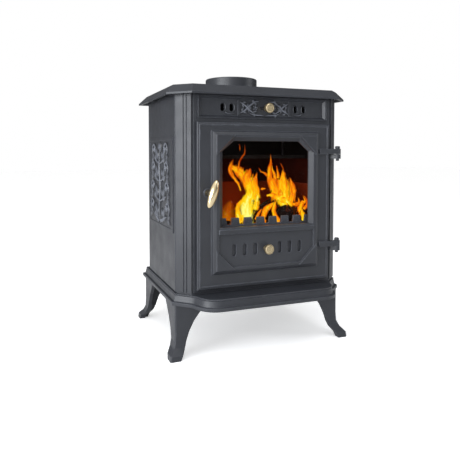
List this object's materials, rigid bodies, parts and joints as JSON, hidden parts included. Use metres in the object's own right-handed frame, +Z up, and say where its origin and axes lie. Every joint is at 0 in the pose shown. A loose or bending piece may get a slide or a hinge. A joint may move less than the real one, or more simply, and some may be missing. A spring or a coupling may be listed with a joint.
{
  "type": "cast iron wood stove",
  "caption": "Small cast iron stove with octagonal front corners, a glazed hinged door, brass knobs, an ash lip, cabriole legs and a top flue collar.",
  "frame": {"origin": "middle of the footprint on the floor, under the bounding box", "axes": "+X to the right seen from the front, +Y from the door to the back, +Z up"},
  "size_m": [0.438, 0.387, 0.627],
  "materials": {
    "iron": "matt stove paint",
    "lining_iron": "bare, sooted",
    "brass": "polished",
    "steel": "dull",
    "glass": "clear ceramic",
    "rope": "woven glass fibre",
    "brick": "rough fire brick"
  },
  "bodies": {
    "stove": {"base_plate": "iron", "leg_front_left": "iron", "leg_front_right": "iron", "leg_rear_left": "iron", "leg_rear_right": "iron", "leg_bolts": "steel", "side_panel_left": "iron", "side_panel_right": "iron", "corner_post_left": "iron", "corner_post_right": "iron", "back_panel": "iron", "front_frame": "iron", "tie_rods": "steel", "top_plate": "iron", "flue_collar": "iron", "collar_bolts": "steel", "frieze_panel": "iron", "air_duct": "steel", "hinge_pin_upper": "iron", "hinge_pin_lower": "iron", "firebox_floor": "lining_iron", "fire_grate": "lining_iron", "log_guard": "lining_iron", "back_brick_lower": "brick", "back_brick_upper": "brick", "side_brick_left_lower": "brick", "side_brick_left_upper": "brick", "side_brick_right_lower": "brick", "side_brick_right_upper": "brick", "baffle_plate": "lining_iron", "ash_pan": "steel", "ash_pan_handle": "steel"},
    "door": {"door_frame": "iron", "door_glass": "glass", "glass_tape": "rope", "glass_clips": "steel", "glass_screws": "steel", "door_rope": "rope"},
    "handle": {"door_handle": "brass", "handle_spindle": "steel", "latch_tongue": "steel", "spindle_nut": "steel"},
    "primary_air": {"primary_air_slider": "steel", "primary_air_knob": "brass"},
    "airwash": {"airwash_slider": "steel", "airwash_knob": "brass"}
  },
  "joints": [
    {"name": "door_swing", "type": "hinge", "parent": "stove", "child": "door", "pos_m": [0.183, -0.143, 0.33], "axis": [0, 0, 1], "range_deg": [0, 110]},
    {"name": "handle_turn", "type": "hinge", "parent": "door", "child": "handle", "pos_m": [-0.138, -0.1433, 0.356], "axis": [0, -1, 0], "range_deg": [0, 80]},
    {"name": "primary_air_slide", "type": "slide", "parent": "door", "child": "primary_air", "axis": [1, 0, 0], "range_m": [0, 0.012]},
    {"name": "airwash_slide", "type": "slide", "parent": "stove", "child": "airwash", "axis": [1, 0, 0], "range_m": [-0.011, 0]}
  ]
}
